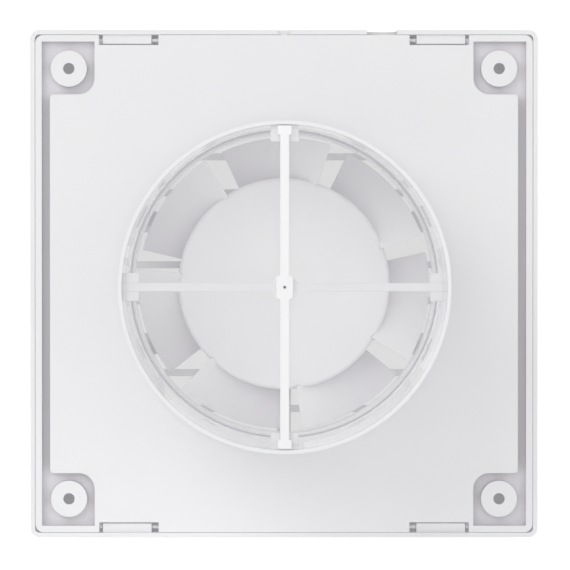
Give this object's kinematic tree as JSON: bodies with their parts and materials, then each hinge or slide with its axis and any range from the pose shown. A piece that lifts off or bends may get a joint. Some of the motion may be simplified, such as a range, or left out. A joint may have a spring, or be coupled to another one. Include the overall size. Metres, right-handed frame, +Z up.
{
  "type": "bathroom extractor fan",
  "caption": "Square wall-mounted axial extractor fan with a round duct spigot, a film back-draught valve, a domed broad-bladed impeller and a pull-off front cover.",
  "frame": {"origin": "on the fan's axis, in the plane of the base plate's rear face, which meets the wall", "axes": "+Z up, +Y along the air flow, from the room into the duct, +X right for someone in the room"},
  "size_m": [0.158, 0.1105, 0.158],
  "materials": {
    "white_abs": "fine moulded white ABS",
    "impeller_abs": "smooth moulded off-white ABS",
    "clear_film": "clear polyester film",
    "zinc_steel": "bright zinc plate",
    "electrical_steel": "stacked laminations",
    "cast_aluminium": "die cast",
    "copper": "enamelled copper",
    "nylon": "moulded nylon",
    "sintered_bronze": "oil-filled sintered bronze",
    "brass": "turned brass",
    "rubber": "moulded rubber",
    "fuse_body": "resin-sealed",
    "lead_insulation": "PVC insulation"
  },
  "bodies": {
    "housing": {"rear_housing": "white_abs", "valve_clamp_bar": "white_abs", "motor_carrier": "white_abs", "carrier_screws": "zinc_steel", "motor_mount_screws": "zinc_steel", "terminal_cover_screw": "zinc_steel", "cable_clamp_screws": "zinc_steel", "bush_retainers": "zinc_steel", "front_bearing_bracket": "zinc_steel", "rear_bearing_bracket": "zinc_steel", "stator_laminations": "electrical_steel", "shading_rings": "copper", "coil_winding": "copper", "coil_bobbin": "nylon", "terminal_block": "nylon", "terminal_cover": "nylon", "cable_clamp": "nylon", "front_bush": "sintered_bronze", "rear_bush": "sintered_bronze", "terminal_screws": "brass", "rubber_dampers": "rubber", "thermal_fuse": "fuse_body", "motor_leads": "lead_insulation"},
    "impeller": {"impeller": "impeller_abs", "motor_shaft": "zinc_steel", "rotor_core": "electrical_steel", "rotor_end_rings": "cast_aluminium", "impeller_clip": "zinc_steel", "thrust_washers": "nylon"},
    "flap_left": {"flap_left": "clear_film"},
    "flap_right": {"flap_right": "clear_film"},
    "cover": {"front_cover": "white_abs"}
  },
  "joints": [
    {"name": "impeller_spin", "type": "hinge", "parent": "housing", "child": "impeller", "pos_m": [0, 0, 0], "axis": [0, 1, 0], "continuous": true},
    {"name": "flap_left_hinge", "type": "hinge", "parent": "housing", "child": "flap_left", "pos_m": [-0.0026, 0.07758, 0], "axis": [0, 0, -1], "range_deg": [0, 75]},
    {"name": "flap_right_hinge", "type": "hinge", "parent": "housing", "child": "flap_right", "pos_m": [0.0026, 0.07758, 0], "axis": [0, 0, 1], "range_deg": [0, 75]},
    {"name": "cover_pull", "type": "slide", "parent": "housing", "child": "cover", "axis": [0, -1, 0], "range_m": [0, 0.07]}
  ]
}
